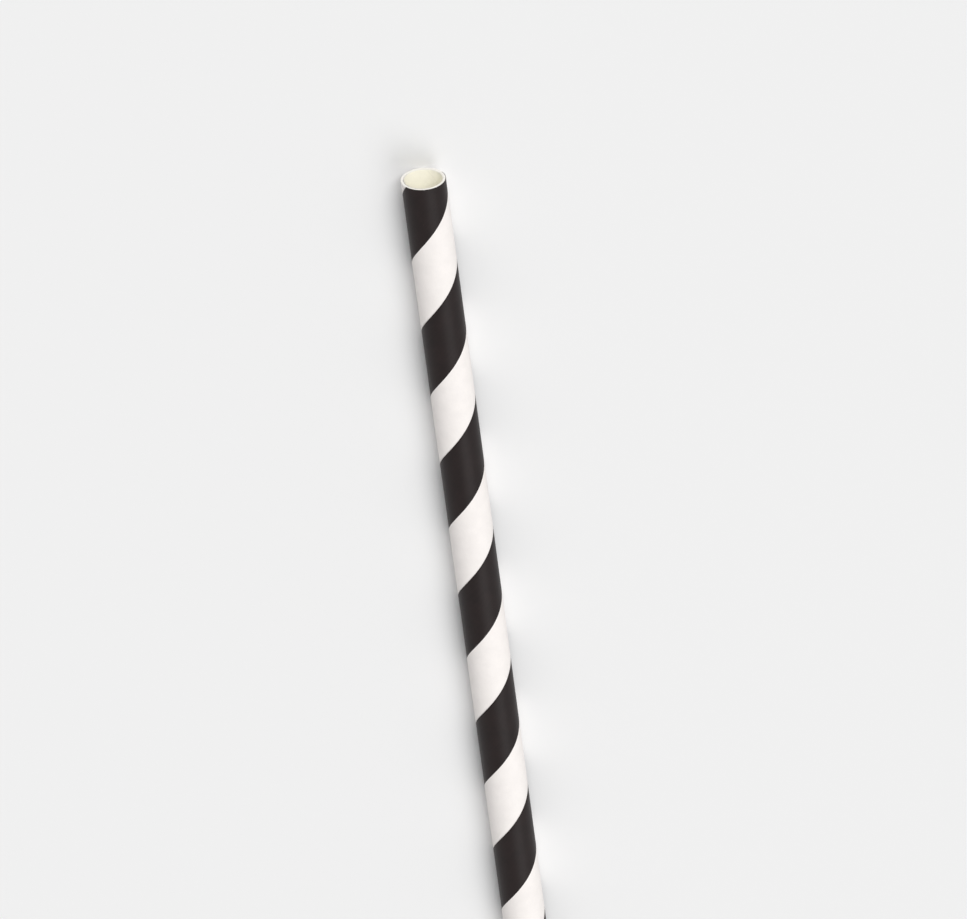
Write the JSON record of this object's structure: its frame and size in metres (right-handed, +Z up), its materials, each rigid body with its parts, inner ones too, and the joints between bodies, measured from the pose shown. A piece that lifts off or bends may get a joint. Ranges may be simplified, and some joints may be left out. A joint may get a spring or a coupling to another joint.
{
  "type": "paper drinking straw",
  "caption": "Straight spirally wound paper drinking straw: a slim white tube, open at both cut ends, with a black band winding round it like a right-hand screw.",
  "frame": {"origin": "on the surface that the straw lies on, under the middle of its length", "axes": "+X along the straw towards its mouth end, +Z up, +Y to the left of +X"},
  "size_m": [0.197, 0.006, 0.006],
  "materials": {
    "white_paper": "smooth uncoated white paper, warm cream inside the bore",
    "black_print": "soft black print on paper, faint satin sheen"
  },
  "bodies": {
    "root": {"paper_tube": "white_paper", "black_band": "black_print"}
  },
  "joints": []
}
